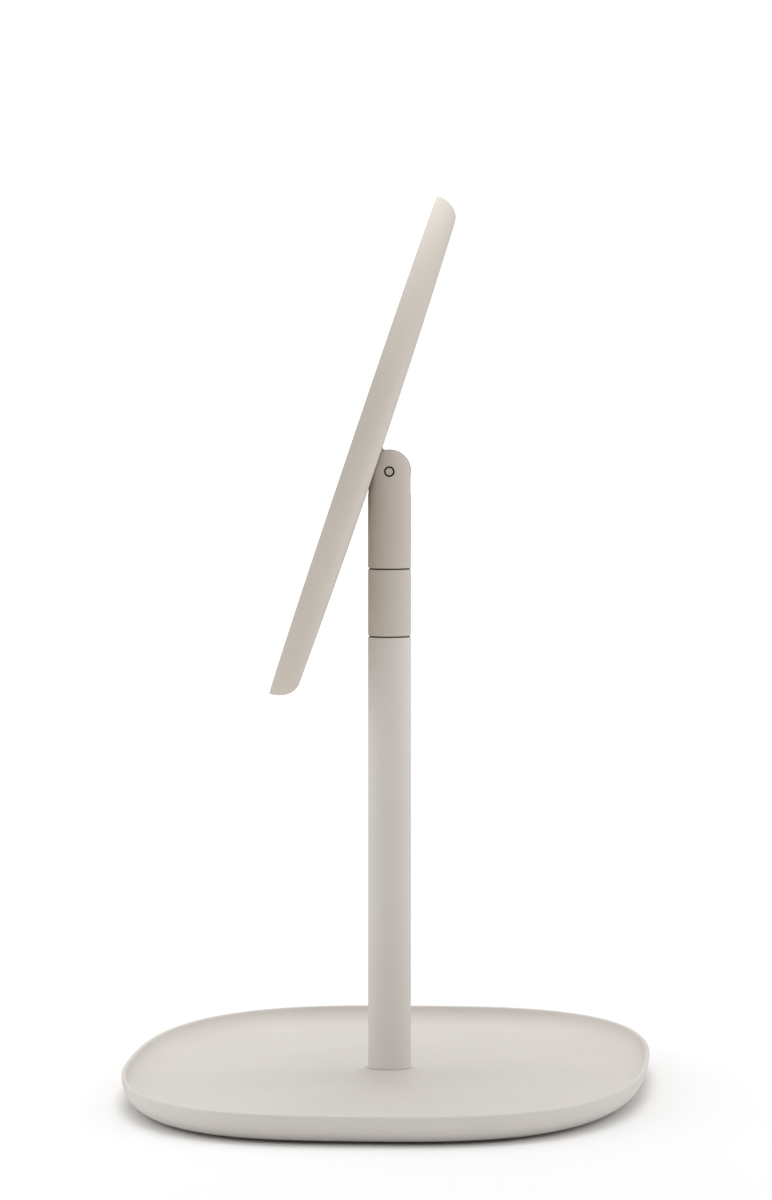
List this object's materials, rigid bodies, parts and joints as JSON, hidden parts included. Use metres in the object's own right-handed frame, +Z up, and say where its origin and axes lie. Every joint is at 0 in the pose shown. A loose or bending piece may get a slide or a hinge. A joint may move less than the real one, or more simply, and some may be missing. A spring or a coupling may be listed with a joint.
{
  "type": "extendable table shaving mirror",
  "caption": "Round tilting shaving mirror on a telescopic, swivelling post that stands in an oval tray foot.",
  "frame": {"origin": "on the post's axis, at the surface that the tray's feet stand on", "axes": "+Z up along the post, Y along the tray's length, the mirror faces -X and leans back towards +X"},
  "size_m": [0.175, 0.28, 0.3002],
  "materials": {
    "tray_coat": "matte sand powder coat",
    "post_coat": "matte sand powder coat",
    "head_coat": "matte sand powder coat",
    "lug_coat": "matte sand powder coat",
    "collar_coat": "fine-textured grip, slightly darker than the post",
    "shell_coat": "matte sand coat to match the post",
    "mirror": "silvered glass",
    "pad_foam": "double-sided foam tape",
    "foot_rubber": "matte rubber",
    "ring_rubber": "rubber",
    "dark_nylon": "dark nylon",
    "zinc_steel": "zinc-plated",
    "pin_steel": "turned steel",
    "stem_steel": "polished",
    "plug_aluminium": "turned"
  },
  "bodies": {
    "base": {"tray": "tray_coat", "foot_pad_1": "foot_rubber", "foot_pad_2": "foot_rubber", "foot_pad_3": "foot_rubber", "foot_pad_4": "foot_rubber", "base_washer": "zinc_steel", "base_screw": "zinc_steel", "tube_plug": "plug_aluminium", "post_tube": "post_coat", "guide_bush": "dark_nylon"},
    "stem": {"stem_tube": "stem_steel", "slide_shoe": "dark_nylon", "shoe_pin": "zinc_steel", "friction_ring": "ring_rubber", "collar": "collar_coat"},
    "head": {"thrust_washer": "dark_nylon", "spring_washer": "zinc_steel", "swivel_bolt": "zinc_steel", "head": "head_coat", "hinge_pin": "pin_steel", "hinge_washer_1": "dark_nylon", "hinge_washer_2": "dark_nylon"},
    "mirror": {"hinge_lug": "lug_coat", "lug_screws": "zinc_steel", "back_shell": "shell_coat", "mounting_pad": "pad_foam", "mirror_glass": "mirror"}
  },
  "joints": [
    {"name": "height_slide", "type": "slide", "parent": "base", "child": "stem", "axis": [0, 0, 1], "range_m": [0, 0.07]},
    {"name": "head_swivel", "type": "hinge", "parent": "stem", "child": "head", "pos_m": [0, 0, 0.1754], "axis": [0, 0, 1], "continuous": true},
    {"name": "mirror_tilt", "type": "hinge", "parent": "head", "child": "mirror", "pos_m": [0, 0, 0.2079], "axis": [-0.0593, 0.9982, 0], "range_deg": [-10.65, 116.35]}
  ]
}
